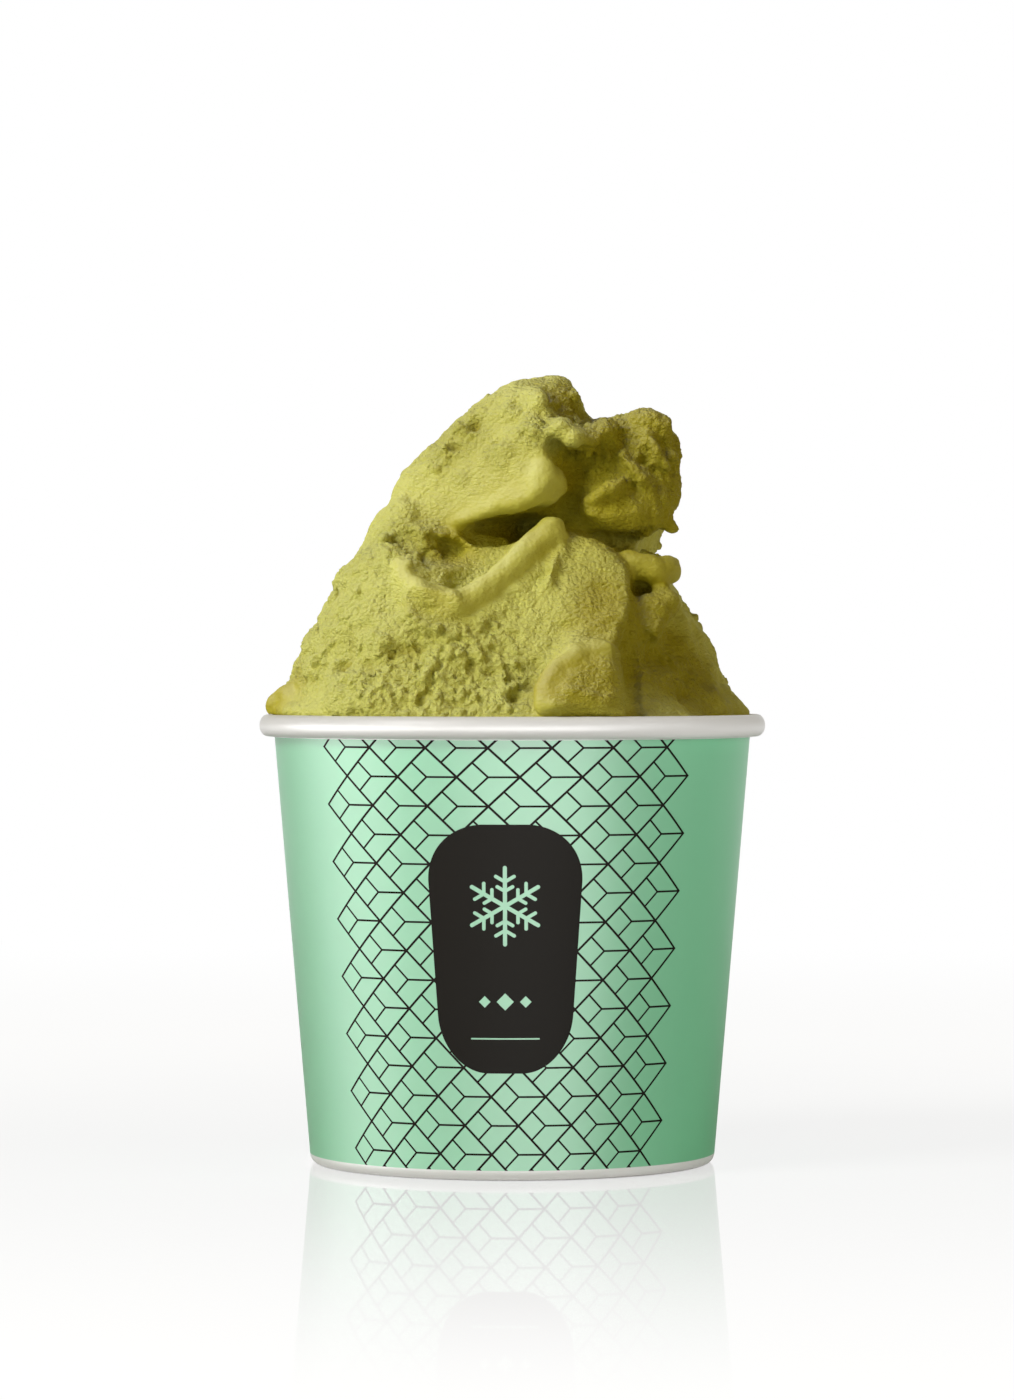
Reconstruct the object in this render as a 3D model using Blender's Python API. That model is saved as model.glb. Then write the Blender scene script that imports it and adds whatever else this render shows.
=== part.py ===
"""A paper cup of gelato: a rolled-rim wall, a recessed base, and a heap laid on with a spatula.

Metres, +Z up. The origin is at the centre of the ring that the cup stands on, and -Y is the front.
"""

import math

import bmesh
import bpy
from mathutils import Euler, Vector, noise

MM = 0.001

# Paper cup
RIM_RADIUS = 47.5 * MM
CUP_HEIGHT = 84.0 * MM
FOOT_RADIUS = 37.83 * MM
WALL_FLARE = 0.0851
BOARD = 0.45 * MM
FIT_GAP = 0.3 * MM
ROLL_HEIGHT = 4.1 * MM
ROLL_SWEEP = math.radians(302)
FOOT_ROUND_WIDTH = 1.35 * MM
FOOT_ROUND_HEIGHT = 2.2 * MM
HEM_HEIGHT = 6.3 * MM
BASE_HEIGHT = 7.5 * MM
SKIRT_BOTTOM = 0.8 * MM
BASE_CORNER = 0.3 * BOARD
ROUND_SEGMENTS = 72
ROLL_STEPS_OUTSIDE = 14
ROLL_STEPS_INSIDE = 9
FOOT_STEPS = 4

# Gelato inside the cup: a turned plug up to FILL_HIGH, into which the heap reaches down to HEAP_LOW.
FILL_HIGH = CUP_HEIGHT - ROLL_HEIGHT
HEAP_LOW = CUP_HEIGHT - 1.5 * ROLL_HEIGHT
CLEARANCE_LOW = CUP_HEIGHT - 3 * ROLL_HEIGHT
CLEARANCE_STEPS = 10

# The heap: a cone that the spadefuls lie on, in millimetres, and how finely the joined skin is made.
CORE_FOOT = 43
CORE_TOP = 17
CORE_LOW = 78
CORE_HIGH = 127
VOXEL = 1.0 * MM
SOFT_ROUNDS = 4
CRAG_SOFT_ROUNDS = 1
HEAP_TRIANGLES = 8400
LOBE_LEVEL = 4
ROLL_STEPS = 9

# Crags: their depth and length, and how the finer ones fade.
CRAG_DEPTH = 0.9 * MM
CRAG_LENGTH = 6.5 * MM
CRAG_FALL = 0.9
CRAG_RATIO = 2.1
CRAG_OCTAVES = 3

# How far out the heap may reach: radius and height in millimetres, from inside the rim up the slope.
HEAP_LIMIT = (
    (0, 70),
    (46, 70),
    (46, 85),
    (44.5, 89),
    (40.5, 94),
    (40, 98),
    (33, 118),
    (33, 160),
    (0, 160),
)

# Each lobe is a spadeful or a lump of it: its centre, half sizes and turn (degrees) about X, Y and Z,
# then how square it is: 2 is an ellipsoid, and more is boxier.
LOBES = {
    "top_slab": ((-5.6, -8, 128.9), (18.4, 6.5, 10.9), (-33, -43, -18), 3.6),
    "top_core": ((2, 2, 125), (14, 12, 13), (0, -20, 0), 2.2),
    "top_slab_lip": ((3.5, -19, 124.6), (7.5, 4, 4), (0, -24, 8), 2.3),
    "peak": ((3.6, -3, 139.8), (9.2, 7, 6.6), (0, -17, 0), 3.0),
    "peak_knob": ((9.6, -1, 139.6), (3.8, 6, 5.0), (0, 0, 0), 2.2),
    "right_block": ((21.2, -3, 128.5), (9.0, 11, 11), (-12, 7, 20), 3.8),
    "right_block_top": ((23, -4, 136), (5, 7, 3.2), (0, 14, 0), 2.6),
    "right_belly": ((19.5, -9, 122.6), (10.6, 8, 5.4), (0, 4, 0), 2.4),
    "right_back": ((17, 9, 121), (11, 10, 12), (20, 0, 0), 2.6),
    "saddle": ((13.5, -3, 128.8), (7, 9, 9), (0, 0, 0), 2.6),
    "front_slab": ((-5, -19, 93), (28.8, 14, 24), (-30, 0, 0), 4.5),
    "front_foot": ((-3, -5, 83), (41, 36, 9.5), (0, 0, 0), 2.3),
    "ring_foot": ((0, 0, 80), (45.5, 45.5, 7), (0, 0, 0), 2.2),
    "left_shoulder": ((-18, -6, 113.5), (9.8, 13, 11.5), (0, 30, 0), 2.8),
    "left_flank": ((-30, -4, 93.5), (9.5, 18, 13), (0, 20, 0), 2.6),
    "left_foot": ((-40.5, -6, 85.0), (4.8, 9, 4.6), (0, 0, 0), 2.1),
    "right_flank": ((24.5, 7, 96), (11, 21, 20), (0, -31, 0), 3.0),
    "right_foot": ((36, 2, 84), (8.5, 18, 6.5), (0, 30, 0), 2.2),
    "right_roll": ((24.0, -12, 111.4), (7.9, 6, 3.0), (0, 2, -14), 2.4),
    "right_tongue": ((25.4, -18, 102.6), (5.8, 5, 3.4), (0, -35, 0), 2.4),
    "back_slab": ((4, 18, 100), (25, 13, 20), (26, 12, 0), 3.2),
    "back_foot": ((2, 8, 83), (42, 34, 10), (0, 0, 0), 2.3),
    "back_lip": ((-6, 9, 119), (13, 10, 10), (14, -18, 10), 2.6),
}

# Lumps that are laid on last, over what the spatula took away.
LATE_LOBES = {
    "low_fold": ((13.5, -37, 88.5), (8.0, 5.8, 9.6), (-30, 26, 0), 3.6),
}

# Rolled edges that the spatula leaves: points of the edge, each with the roll's radius there.
ROLLS = {
    "scoop_edge": (
        ((-20.5, -26, 112.0), 2.0),
        ((-18.3, -30, 107.0), 2.9),
        ((-13.0, -33.5, 102.8), 4.0),
        ((-6.5, -33, 105.0), 3.4),
        ((-1.0, -31, 109.5), 3.0),
        ((4.0, -28, 114.6), 3.3),
        ((7.4, -26, 117.2), 3.8),
    ),
    "back_edge": (
        ((-24, 18, 104), 2.6),
        ((-14, 29, 98), 3.4),
        ((2, 34, 99), 3.8),
        ((16, 29, 106), 3.4),
        ((22, 20, 114), 2.8),
    ),
}

# What the spatula takes away: centre, half sizes and turn, as for the lobes.
SCOOPS = {
    "front_hollow": ((-4, -30, 113), (12, 10, 5.5), (0, -36, 0), 2.2),
    "dark_gap": ((0.5, -20, 118.8), (11.5, 14, 3.0), (0, -8, 0), 2.2),
    "under_block": ((21.5, -14, 115.6), (9, 9, 2.4), (0, 6, 0), 2.2),
    "block_crease": ((11.8, -18, 127), (2.0, 7, 7), (0, 14, 0), 2.0),
    "roll_gap": ((24, -20, 107.1), (7, 6, 1.4), (0, -8, 0), 2.0),
    "back_hollow": ((0, 30, 112), (16, 11, 6), (0, 14, 0), 2.2),
}


def material(name, colour, roughness):
    """A plain Principled material."""
    made = bpy.data.materials.new(name)
    made.use_nodes = True
    surface = made.node_tree.nodes["Principled BSDF"]
    surface.inputs["Base Color"].default_value = (*colour, 1)
    surface.inputs["Roughness"].default_value = roughness
    surface.inputs["Metallic"].default_value = 0.0
    return made


def add_object(name, mesh, look=None):
    """Puts a mesh in the scene under that name."""
    made = bpy.data.objects.new(name, mesh)
    bpy.context.scene.collection.objects.link(made)
    if look:
        mesh.materials.append(look)
    return made


def turned(name, profile, look=None):
    """Spins a closed profile of (radius, height) points about the Z axis."""
    shape = bmesh.new()
    corners = [shape.verts.new((r, 0, z)) for r, z in profile]
    edges = [shape.edges.new((a, b)) for a, b in zip(corners, corners[1:] + corners[:1])]
    bmesh.ops.spin(
        shape,
        geom=corners + edges,
        cent=(0, 0, 0),
        axis=(0, 0, 1),
        angle=math.tau,
        steps=ROUND_SEGMENTS,
        use_merge=True,
    )
    bmesh.ops.remove_doubles(shape, verts=shape.verts, dist=1e-7)
    bmesh.ops.recalc_face_normals(shape, faces=shape.faces)
    mesh = bpy.data.meshes.new(name)
    shape.to_mesh(mesh)
    shape.free()
    mesh.shade_smooth()
    mesh.set_sharp_from_angle(angle=math.radians(40))
    return add_object(name, mesh, look)


def arc(centre, width, height, start, end, steps):
    """Points on an upright ellipse's arc, angles in radians from +radius."""
    angles = [start + (end - start) * i / steps for i in range(steps + 1)]
    return [(centre[0] + width * math.cos(a), centre[1] + height * math.sin(a)) for a in angles]


def wall_outside(z):
    """Radius of the wall's outer face at a height."""
    return FOOT_RADIUS + WALL_FLARE * z


def wall_inside(z):
    """Radius of the wall's inner face at a height."""
    return wall_outside(z) - BOARD


def roll_section():
    """Centre, half width and half height of the rolled rim's outer outline."""
    half_height = ROLL_HEIGHT / 2
    level = CUP_HEIGHT - half_height
    inner = wall_inside(level)
    return (((RIM_RADIUS + inner) / 2, level), (RIM_RADIUS - inner) / 2, half_height)


def cup_wall(look):
    """The wall blank: rolled out at the top, and folded in round the base's skirt at the foot."""
    centre, half_width, half_height = roll_section()
    end = math.pi - ROLL_SWEEP
    outside_roll = arc(centre, half_width, half_height, math.pi, end, ROLL_STEPS_OUTSIDE)
    inner_size = (half_width - BOARD, half_height - BOARD)
    inside_roll = arc(centre, *inner_size, end, math.pi, ROLL_STEPS_INSIDE)
    pocket = BOARD + 2 * FIT_GAP
    foot_centre = (FOOT_RADIUS - FOOT_ROUND_WIDTH, FOOT_ROUND_HEIGHT)
    shift = WALL_FLARE * FOOT_ROUND_HEIGHT
    foot_size = (FOOT_ROUND_WIDTH + shift, FOOT_ROUND_HEIGHT)
    foot = arc(foot_centre, *foot_size, 0, -math.pi / 2, FOOT_STEPS)
    hem_outside = wall_inside(0) - pocket
    lean = WALL_FLARE * HEM_HEIGHT
    hem = [
        (hem_outside - BOARD, 0),
        (hem_outside - BOARD + lean, HEM_HEIGHT),
        (hem_outside + lean, HEM_HEIGHT),
        (hem_outside, BOARD),
        (wall_inside(BOARD), BOARD),
    ]
    profile = outside_roll + inside_roll[:-1] + [(wall_outside(centre[1]), centre[1])] + foot + hem
    return turned("cup_wall", profile, look)


def cup_base(look):
    """The base disc, with its edge turned down into the wall's folded foot."""
    foot_radius = wall_inside(SKIRT_BOTTOM) - FIT_GAP
    top_radius = wall_inside(BASE_HEIGHT) - FIT_GAP
    under = BASE_HEIGHT - BOARD
    fold = under - BOARD
    fold_radius = wall_inside(fold) - FIT_GAP - BOARD
    profile = [
        (foot_radius, SKIRT_BOTTOM),
        (top_radius - BOARD * WALL_FLARE, under),
        (top_radius - BASE_CORNER, BASE_HEIGHT - BASE_CORNER),
        (top_radius - BOARD, BASE_HEIGHT),
        (0, BASE_HEIGHT),
        (0, under),
        (fold_radius - BOARD, under),
        (fold_radius, fold),
        (foot_radius - BOARD, SKIRT_BOTTOM),
    ]
    return turned("cup_base", profile, look)


def lobe(shape, centre, radii, turn, squareness):
    """Adds one closed lump to the shape: an icosphere pushed out to a rounded box and laid in place."""
    made = bmesh.ops.create_icosphere(shape, subdivisions=LOBE_LEVEL, radius=1.0)["verts"]
    rotation = Euler([math.radians(t) for t in turn]).to_matrix()
    for vert in made:
        spread = sum(abs(c) ** squareness for c in vert.co.normalized()) ** (-1 / squareness)
        at = vert.co.normalized() * spread
        sized = Vector([c * r for c, r in zip(at, radii)])
        vert.co = (rotation @ sized + Vector(centre)) * MM


def roll(shape, points):
    """Adds a rolled edge: overlapping balls along a smooth line through the points."""
    line = [Vector(at) for at, radius in points]
    radii = [radius for at, radius in points]
    last = len(line) - 1
    for i in range(last):
        before = line[max(i - 1, 0)]
        after = line[min(i + 2, last)]
        for step in range(ROLL_STEPS):
            t = step / ROLL_STEPS
            at = smooth_line(before, line[i], line[i + 1], after, t)
            radius = radii[i] + (radii[i + 1] - radii[i]) * t
            lobe(shape, at, (radius,) * 3, (0, 0, 0), 2.0)


def smooth_line(before, start, end, after, t):
    """A point between start and end on the Catmull-Rom curve through the four points."""
    return 0.5 * (
        2 * start
        + (end - before) * t
        + (2 * before - 5 * start + 4 * end - after) * t**2
        + (3 * start - before - 3 * end + after) * t**3
    )


def core(shape):
    """Adds the cone that the spadefuls are piled on."""
    made = bmesh.ops.create_cone(
        shape,
        cap_ends=True,
        segments=ROUND_SEGMENTS,
        radius1=CORE_FOOT * MM,
        radius2=CORE_TOP * MM,
        depth=(CORE_HIGH - CORE_LOW) * MM,
    )
    middle = (CORE_LOW + CORE_HIGH) / 2 * MM
    bmesh.ops.translate(shape, verts=made["verts"], vec=(0, 0, middle))


def lump_mesh(name, lumps, rolls=(), with_core=False):
    """One mesh of all those lumps and rolled edges, still overlapping."""
    shape = bmesh.new()
    if with_core:
        core(shape)
    for centre, radii, turn, squareness in lumps:
        lobe(shape, centre, radii, turn, squareness)
    for points in rolls:
        roll(shape, points)
    mesh = bpy.data.meshes.new(name)
    shape.to_mesh(mesh)
    shape.free()
    return mesh


def add_even_skin(made):
    """Joins overlapping lumps into one skin of even faces."""
    remesh = made.modifiers.new("even_skin", "REMESH")
    remesh.mode = "VOXEL"
    remesh.voxel_size = VOXEL


def add_softening(made, rounds):
    """Rounds the creases a little, as soft gelato does."""
    soften = made.modifiers.new("soften", "SMOOTH")
    soften.factor = 0.5
    soften.iterations = rounds


def add_boolean(made, operation, other):
    """A Boolean modifier with one other object, which is then a helper."""
    cut = made.modifiers.new(f"{operation.lower()}_{other.name}", "BOOLEAN")
    cut.operation = operation
    cut.object = other
    other.hide_render = True
    other.display_type = "WIRE"


def apply_modifiers(made):
    """Keeps the object's evaluated mesh as its own."""
    evaluated = made.evaluated_get(bpy.context.evaluated_depsgraph_get())
    mesh = bpy.data.meshes.new_from_object(evaluated)
    made.modifiers.clear()
    made.data = mesh


def add_crags(mesh):
    """Moves the skin in and out in uneven crags, the way torn gelato breaks."""
    normals = [vert.normal.copy() for vert in mesh.vertices]
    for vert, normal in zip(mesh.vertices, normals):
        depth = noise.fractal(vert.co / CRAG_LENGTH, CRAG_FALL, CRAG_RATIO, CRAG_OCTAVES)
        vert.co += normal * CRAG_DEPTH * depth


def fill_section():
    """Outline of the gelato inside the cup, clear of the wall and the base."""
    low = BASE_HEIGHT + FIT_GAP
    return [
        (0, low),
        (wall_inside(low) - FIT_GAP, low),
        (wall_inside(FILL_HIGH) - FIT_GAP, FILL_HIGH),
        (0, FILL_HIGH),
    ]


def rim_clearance():
    """Outline of the cup's rim and wall with a gap round them, which the heap keeps clear of."""
    centre, half_width, half_height = roll_section()
    size = (half_width + FIT_GAP, half_height + FIT_GAP)
    over = arc(centre, *size, math.pi, 0, CLEARANCE_STEPS)
    start = (wall_inside(CLEARANCE_LOW) - FIT_GAP, CLEARANCE_LOW)
    far = 2 * RIM_RADIUS
    return [start] + over + [(far, centre[1]), (far, CLEARANCE_LOW)]


def heap(name):
    """The heap above the cup, as one craggy skin, cut off flat inside the cup."""
    made = add_object(name, lump_mesh(name, LOBES.values(), with_core=True))
    add_even_skin(made)
    scoops = add_object("scoops", lump_mesh("scoops", SCOOPS.values()))
    add_even_skin(scoops)
    add_boolean(made, "DIFFERENCE", scoops)
    folds = add_object("folds", lump_mesh("folds", LATE_LOBES.values(), ROLLS.values()))
    add_even_skin(folds)
    add_boolean(made, "UNION", folds)
    limit = turned("heap_limit", [(radius * MM, height * MM) for radius, height in HEAP_LIMIT])
    add_boolean(made, "INTERSECT", limit)
    add_even_skin(made)
    add_softening(made, SOFT_ROUNDS)
    apply_modifiers(made)
    for helper in (scoops, folds, limit):
        bpy.data.objects.remove(helper)
    add_crags(made.data)
    add_even_skin(made)
    add_softening(made, CRAG_SOFT_ROUNDS)
    apply_modifiers(made)
    thin_out = made.modifiers.new("thin_out", "DECIMATE")
    thin_out.ratio = HEAP_TRIANGLES / (2 * len(made.data.polygons))
    apply_modifiers(made)
    return made


def gelato(look):
    """The whole of the gelato: a plug that fills the cup, and the heap above it."""
    made = heap("gelato")
    cube = bmesh.new()
    bmesh.ops.create_cube(cube, size=2 * CUP_HEIGHT)
    bmesh.ops.translate(cube, verts=cube.verts, vec=(0, 0, HEAP_LOW - CUP_HEIGHT))
    below_rim = add_object("below_rim", bpy.data.meshes.new("below_rim"))
    cube.to_mesh(below_rim.data)
    cube.free()
    add_boolean(made, "DIFFERENCE", below_rim)
    add_boolean(made, "UNION", turned("gelato_plug", fill_section()))
    add_boolean(made, "DIFFERENCE", turned("rim_space", rim_clearance()))
    made.data.materials.append(look)
    return made


def main():
    for old in list(bpy.data.objects):
        bpy.data.objects.remove(old)
    cup_wall(material("printed_board", (0.42, 0.78, 0.58), 0.45))
    cup_base(material("plain_board", (0.86, 0.86, 0.84), 0.55))
    gelato(material("pistachio_gelato", (0.52, 0.50, 0.12), 0.5))


if __name__ == "__main__":
    main()
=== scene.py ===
"""A paper cup of pistachio gelato in a plain studio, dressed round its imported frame."""

import math
import random

import bmesh
import bpy
import numpy
from mathutils import Euler, Matrix, Vector, noise
from mathutils.kdtree import KDTree


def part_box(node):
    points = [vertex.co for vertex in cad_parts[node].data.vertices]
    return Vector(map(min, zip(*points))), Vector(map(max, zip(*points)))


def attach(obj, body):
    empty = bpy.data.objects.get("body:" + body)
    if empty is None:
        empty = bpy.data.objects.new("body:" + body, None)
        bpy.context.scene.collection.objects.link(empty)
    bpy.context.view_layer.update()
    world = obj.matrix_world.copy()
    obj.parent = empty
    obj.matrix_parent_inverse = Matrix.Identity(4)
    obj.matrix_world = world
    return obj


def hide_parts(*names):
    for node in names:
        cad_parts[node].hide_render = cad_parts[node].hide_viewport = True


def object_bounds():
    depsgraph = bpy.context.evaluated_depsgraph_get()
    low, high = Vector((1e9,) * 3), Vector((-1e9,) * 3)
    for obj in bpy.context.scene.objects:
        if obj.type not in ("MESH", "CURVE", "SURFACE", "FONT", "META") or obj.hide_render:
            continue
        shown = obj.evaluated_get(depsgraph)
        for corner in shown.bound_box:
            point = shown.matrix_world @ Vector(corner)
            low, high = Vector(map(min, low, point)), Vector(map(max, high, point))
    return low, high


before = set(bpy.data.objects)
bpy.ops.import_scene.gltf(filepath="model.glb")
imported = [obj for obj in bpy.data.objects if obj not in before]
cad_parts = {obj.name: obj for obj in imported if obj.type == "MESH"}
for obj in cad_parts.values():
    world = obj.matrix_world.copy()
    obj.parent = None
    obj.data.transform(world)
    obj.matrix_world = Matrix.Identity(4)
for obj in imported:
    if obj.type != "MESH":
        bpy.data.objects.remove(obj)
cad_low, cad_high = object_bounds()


# Camera
# The photograph is taken level with the foot of the heap, from about a metre away with a long lens.
# The cup stands a little right of the middle, and the frame is shifted down rather than tilted.
MM = 0.001
IMAGE_WIDTH = 1014
IMAGE_HEIGHT = 1400
PIXEL = 0.188 * MM
CAMERA_DISTANCE = 0.95
CAMERA_HEIGHT = 0.0936
SENSOR = 36.0
SHIFT_RIGHT = -5.3
SHIFT_UP = -37.0

camera_data = bpy.data.cameras.new("camera")
camera_data.sensor_width = SENSOR
camera_data.lens = SENSOR * CAMERA_DISTANCE / (PIXEL * IMAGE_HEIGHT)
camera_data.shift_x = SHIFT_RIGHT / IMAGE_HEIGHT
camera_data.shift_y = SHIFT_UP / IMAGE_HEIGHT
camera = bpy.data.objects.new("camera", camera_data)
camera.location = (0, -CAMERA_DISTANCE, CAMERA_HEIGHT)
camera.rotation_euler = (math.radians(90), 0, 0)
scene = bpy.context.scene
scene.collection.objects.link(camera)
scene.camera = camera


# Studio lights
# Two soft lights stand at the upper left, in front of the cup, and weaker ones at the right and behind.
# White cards beside the cup show only in the sheen of the board and of the damp gelato.
WHITE = (1, 1, 1)
DAYLIGHT = (1, 0.995, 0.98)
WARM = (1, 0.74, 0.18)

# Each light's place, the height it is turned towards, its width, height, watts and colour.
LIGHTS = {
    "key_light": ((-0.84, -0.65, 0.85), 0.09, 0.5, 0.5, 10.0, DAYLIGHT),
    "left_card": ((-1.3, -0.4, -0.05), 0.05, 2.4, 0.5, 58.0, WHITE),
    "right_card": ((0.25, -1.33, -0.05), 0.05, 1.9, 0.5, 47.0, WHITE),
    "heap_card": ((-0.75, -0.15, 1.3), 0.1, 1.5, 1.5, 90.0, WHITE),
    "heap_light": ((-0.87, -0.68, 0.42), 0.09, 0.5, 0.5, 5.6, DAYLIGHT),
    "right_light": ((1.2, -0.55, 0.3), 0.05, 0.9, 0.8, 7.8, WHITE),
    "warm_light": ((1.0, -0.75, 0.35), 0.1, 0.9, 0.6, 2.6, WARM),
    "back_light": ((0.5, 1.5, 0.8), 0.08, 1.4, 1.0, 7.0, WHITE),
}
# The pieces that a light reaches, where it doesn't reach all of them. Each piece joins its own groups.
REACH = {
    "gelato_and_board": ("back_light",),
    "board_and_table": ("right_light",),
    "board": ("left_card", "right_card"),
    "gelato": ("heap_light", "heap_card", "warm_light"),
}


def add_soft_light(name, place, target_height, width, height, watts, colour):
    """A rectangular area light at a place, turned towards a point on the cup's axis."""
    data = bpy.data.lights.new(name, "AREA")
    data.shape = "RECTANGLE"
    data.size = width
    data.size_y = height
    data.energy = watts
    data.color = colour
    light = bpy.data.objects.new(name, data)
    light.location = place
    aim = Vector((0, 0, target_height)) - Vector(place)
    light.rotation_euler = aim.to_track_quat("-Z", "Y").to_euler()
    scene.collection.objects.link(light)
    return light


lights = {name: add_soft_light(name, *values) for name, values in LIGHTS.items()}
lit = {name: bpy.data.collections.new("lit_" + name) for name in REACH}
for group, names in REACH.items():
    for name in names:
        lights[name].light_linking.receiver_collection = lit[group]
for name in ("left_card", "right_card", "heap_card"):
    lights[name].visible_diffuse = False
# These two stand partly below the table, which doesn't shade them.
for name in ("left_card", "right_card"):
    lights[name].light_linking.blocker_collection = lit["board"]
for name in ("warm_light", "back_light"):
    lights[name].visible_glossy = False


# Table
# A white table top, lit so evenly that it runs into the white background without an edge. Near the cup
# it is polished just enough to show a faint reflection.
TABLE_RADIUS = 6.0
TABLE_SEGMENTS = 96
TABLE_DROP = 0.05 * MM
TABLE_GLOW = 0.89
TABLE_BOUNCE = (0.75, 0.75, 0.75, 1)
TABLE_SEEN = (0.2, 0.2, 0.2, 1)
TABLE_ROUGHNESS = 0.9
POLISH_IOR = 1.45
POLISH_ROUGHNESS = 0.02
POLISH_FADE = (0.03, 0.34, 0.62, 0.0)
WHITE_FADE = (0.25, 0.75, 0.0, 1.0)


def add_object(name, mesh, look=None):
    """Puts a mesh in the scene under that name."""
    made = bpy.data.objects.new(name, mesh)
    scene.collection.objects.link(made)
    if look:
        mesh.materials.append(look)
    return made


def new_material(name):
    """A material, its node tree and its Principled node."""
    made = bpy.data.materials.new(name)
    made.use_nodes = True
    return made, made.node_tree, made.node_tree.nodes["Principled BSDF"]


def connect(tree, value, socket):
    """Links an output to a socket, or sets the socket to a plain value."""
    if isinstance(value, bpy.types.NodeSocket):
        tree.links.new(value, socket)
    else:
        socket.default_value = value


def calculator(tree):
    """A function that adds one Math node to the tree and gives its output."""

    def calc(operation, *terms, clamp=False):
        node = tree.nodes.new("ShaderNodeMath")
        node.operation = operation
        node.use_clamp = clamp
        for socket, term in zip(node.inputs, terms):
            connect(tree, term, socket)
        return node.outputs["Value"]

    return calc


def mix_colour(tree, fac, first, second):
    """A colour between two, each a socket or a colour."""
    node = tree.nodes.new("ShaderNodeMix")
    node.data_type = "RGBA"
    for i, value in ((0, fac), (6, first), (7, second)):
        connect(tree, value, node.inputs[i])
    return node.outputs[2]


def mix_shader(tree, fac, first, second):
    """A shader between two."""
    node = tree.nodes.new("ShaderNodeMixShader")
    for socket, value in zip(node.inputs, (fac, first, second)):
        tree.links.new(value, socket)
    return node.outputs[0]


def ramp(tree, value, limits, smooth=False):
    """A value between the first two limits, carried over to between the last two, and held there."""
    node = tree.nodes.new("ShaderNodeMapRange")
    node.interpolation_type = "SMOOTHSTEP" if smooth else "LINEAR"
    for name, limit in zip(("From Min", "From Max", "To Min", "To Max"), limits):
        node.inputs[name].default_value = limit
    tree.links.new(value, node.inputs["Value"])
    return node.outputs["Result"]


table_top = bmesh.new()
bmesh.ops.create_circle(table_top, cap_ends=True, segments=TABLE_SEGMENTS, radius=TABLE_RADIUS)
table_mesh = bpy.data.meshes.new("floor")
table_top.to_mesh(table_mesh)
table_top.free()
table_look, tree, paint = new_material("white_table")
calc = calculator(tree)
to_camera = tree.nodes.new("ShaderNodeLightPath").outputs["Is Camera Ray"]
tree.links.new(mix_colour(tree, to_camera, TABLE_BOUNCE, TABLE_SEEN), paint.inputs["Base Color"])
tree.links.new(calc("MULTIPLY", to_camera, TABLE_GLOW), paint.inputs["Emission Strength"])
paint.inputs["Emission Color"].default_value = (1, 1, 1, 1)
paint.inputs["Roughness"].default_value = TABLE_ROUGHNESS
paint.inputs["Specular IOR Level"].default_value = 0.0
away = tree.nodes.new("ShaderNodeVectorMath")
away.operation = "LENGTH"
tree.links.new(tree.nodes.new("ShaderNodeTexCoord").outputs["Object"], away.inputs[0])
away = away.outputs["Value"]
grazing = tree.nodes.new("ShaderNodeFresnel")
grazing.inputs["IOR"].default_value = POLISH_IOR
polish = tree.nodes.new("ShaderNodeBsdfGlossy")
polish.inputs["Roughness"].default_value = POLISH_ROUGHNESS
share = calc("MULTIPLY", ramp(tree, away, POLISH_FADE, smooth=True), grazing.outputs[0])
near = mix_shader(tree, share, paint.outputs[0], polish.outputs[0])
far = tree.nodes.new("ShaderNodeEmission").outputs[0]
table_shader = mix_shader(tree, ramp(tree, away, WHITE_FADE, smooth=True), near, far)
tree.links.new(table_shader, tree.nodes["Material Output"].inputs["Surface"])
table = add_object("floor", table_mesh, table_look)
table.location.z = -TABLE_DROP
lit["board_and_table"].objects.link(table)


# Background
# A white screen behind the table, in a dim room whose walls throw back a little warm light. The
# table's polish reflects only the low middle of the screen.
ROOM_LIGHT = 0.1
ROOM_TINT = (1, 0.84, 0.4, 1)
SCREEN_LIGHT = 1.0
SCREEN_BEHIND = (0.9, 0.95, 0.0, 1.0)
SCREEN_TOP = (0.5, 0.3, 0.0, 1.0)

world = bpy.data.worlds.new("studio")
world.use_nodes = True
scene.world = world
tree = world.node_tree
calc = calculator(tree)
room = tree.nodes["Background"]
room.inputs["Strength"].default_value = ROOM_LIGHT
room.inputs["Color"].default_value = ROOM_TINT
screen = tree.nodes.new("ShaderNodeBackground")
screen.inputs["Strength"].default_value = SCREEN_LIGHT
screen.inputs["Color"].default_value = (1, 1, 1, 1)
ray = tree.nodes.new("ShaderNodeLightPath").outputs
split = tree.nodes.new("ShaderNodeSeparateXYZ")
tree.links.new(tree.nodes.new("ShaderNodeTexCoord").outputs["Generated"], split.inputs[0])
behind = ramp(tree, split.outputs["Y"], SCREEN_BEHIND)
low_down = ramp(tree, split.outputs["Z"], SCREEN_TOP)
mirrored = calc("MULTIPLY", calc("MULTIPLY", behind, low_down), ray["Is Glossy Ray"])
shown = calc("MAXIMUM", ray["Is Camera Ray"], mirrored)
backdrop = mix_shader(tree, shown, room.outputs[0], screen.outputs[0])
tree.links.new(backdrop, tree.nodes["World Output"].inputs["Surface"])
scene.view_settings.view_transform = "Standard"


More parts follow.
